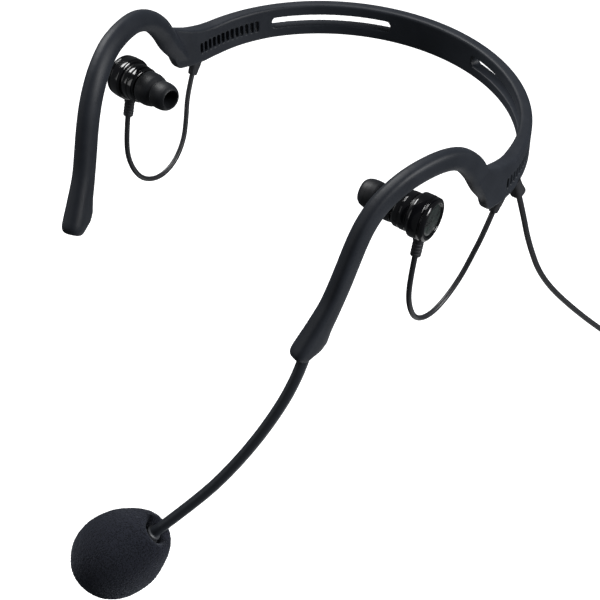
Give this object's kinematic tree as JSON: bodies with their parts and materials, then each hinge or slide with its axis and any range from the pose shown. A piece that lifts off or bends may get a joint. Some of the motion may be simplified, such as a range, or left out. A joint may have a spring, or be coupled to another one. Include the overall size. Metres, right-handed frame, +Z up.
{
  "type": "headset microphone",
  "caption": "Behind-the-neck headset with in-ear earphones on short cables and a bendable boom microphone under a foam windscreen.",
  "frame": {"origin": "midway between the two ears on the mid-height plane of the neckband", "axes": "+Z up, the wearer looks along -Y, +X is the wearer's left, where the boom and the cable are"},
  "size_m": [0.1918, 0.2391, 0.2129],
  "materials": {
    "soft_black": "soft-touch satin",
    "cable_jacket": "satin",
    "strain_relief": "matte",
    "gloss_shell": "polished",
    "dark_ring": "polished",
    "badge": "polished",
    "steel": "brushed",
    "mesh": "woven",
    "silicone": "matte silicone",
    "copper": "drawn",
    "board": "solder mask",
    "boom_sleeve": "satin",
    "mic_metal": "semi-gloss",
    "foam": "open-cell foam",
    "tie": "hook and loop",
    "plug_gold": "gold plated",
    "insulator": "moulded"
  },
  "bodies": {
    "headset": {"neckband_frame": "soft_black", "neckband_spring_strip": "steel", "neckband_wire_bundle": "copper", "junction_solder_board": "board", "main_cable_gland": "strain_relief", "left_hook_sleeve": "soft_black", "left_hook_wire": "steel", "left_ear_cable_gland": "strain_relief", "right_hook_sleeve": "soft_black", "right_hook_wire": "steel", "right_ear_cable_gland": "strain_relief", "right_leg_end_cap": "soft_black", "boom_ferrule": "mic_metal", "left_leg_boom_socket": "soft_black", "main_cable_lead": "cable_jacket", "main_cable_coil": "cable_jacket", "cable_tie": "tie", "main_cable_tail": "cable_jacket", "plug_strain_relief": "strain_relief", "plug_body": "strain_relief", "plug_contacts": "plug_gold", "plug_insulators": "insulator"},
    "left_bud": {"left_bud_rear_cap": "gloss_shell", "left_bud_badge_disc": "badge", "left_bud_neck_ring": "dark_ring", "left_bud_front_housing": "gloss_shell", "left_bud_driver": "steel", "left_bud_nozzle": "gloss_shell", "left_bud_nozzle_mesh": "mesh", "left_bud_strain_relief": "strain_relief", "left_ear_cable": "cable_jacket"},
    "right_bud": {"right_bud_rear_cap": "gloss_shell", "right_bud_badge_disc": "badge", "right_bud_neck_ring": "dark_ring", "right_bud_front_housing": "gloss_shell", "right_bud_driver": "steel", "right_bud_nozzle": "gloss_shell", "right_bud_nozzle_mesh": "mesh", "right_bud_strain_relief": "strain_relief", "right_ear_cable": "cable_jacket"},
    "left_tip": {"left_ear_tip": "silicone"},
    "right_tip": {"right_ear_tip": "silicone"},
    "boom_1": {"boom_sleeve_1": "boom_sleeve", "boom_wire_1": "copper"},
    "boom_2": {"boom_sleeve_2": "boom_sleeve", "boom_wire_2": "copper"},
    "boom_3": {"boom_sleeve_3": "boom_sleeve", "boom_wire_3": "copper"},
    "boom_4": {"boom_sleeve_4": "boom_sleeve", "boom_wire_4": "copper", "mic_collar": "mic_metal", "mic_housing": "mic_metal", "mic_capsule_seat": "mic_metal", "mic_capsule": "steel", "mic_grille": "mesh"},
    "windscreen": {"foam_windscreen": "foam"}
  },
  "joints": [
    {"name": "boom_swing", "type": "hinge", "parent": "headset", "child": "boom_1", "pos_m": [0.0512, -0.0822, -0.0294], "axis": [0.9796, 0.1265, -0.1564], "range_deg": [-22, 22]},
    {"name": "boom_bend_1", "type": "hinge", "parent": "boom_1", "child": "boom_2", "pos_m": [0.0478, -0.0889, -0.0451], "axis": [-0.1765, 0.9137, -0.3661], "range_deg": [-13, 13]},
    {"name": "boom_bend_2", "type": "hinge", "parent": "boom_2", "child": "boom_3", "pos_m": [0.0414, -0.0962, -0.0617], "axis": [-0.1765, 0.9137, -0.3661], "range_deg": [-13, 13]},
    {"name": "boom_bend_3", "type": "hinge", "parent": "boom_3", "child": "boom_4", "pos_m": [0.0329, -0.104, -0.0784], "axis": [-0.1765, 0.9137, -0.3661], "range_deg": [-13, 13]},
    {"name": "windscreen_pull_off", "type": "slide", "parent": "boom_4", "child": "windscreen", "axis": [-0.5583, -0.4486, -0.6979], "range_m": [0, 0.024]},
    {"name": "left_bud_swing", "type": "hinge", "parent": "headset", "child": "left_bud", "pos_m": [0.06751, 0.0003, -0.0112], "axis": [0.0538, 0.4903, 0.8699], "range_deg": [-14, 24]},
    {"name": "right_bud_swing", "type": "hinge", "parent": "headset", "child": "right_bud", "pos_m": [-0.06751, 0.0003, -0.0112], "axis": [-0.0538, 0.4903, 0.8699], "range_deg": [-24, 14]},
    {"name": "left_tip_pull_off", "type": "slide", "parent": "left_bud", "child": "left_tip", "axis": [-1, 0, 0], "range_m": [0, 0.01]},
    {"name": "right_tip_pull_off", "type": "slide", "parent": "right_bud", "child": "right_tip", "axis": [1, 0, 0], "range_m": [0, 0.01]}
  ],
  "couplings": [
    {"joint": "boom_bend_2", "follows": "boom_bend_1", "ratio": 1},
    {"joint": "boom_bend_3", "follows": "boom_bend_1", "ratio": 1}
  ]
}
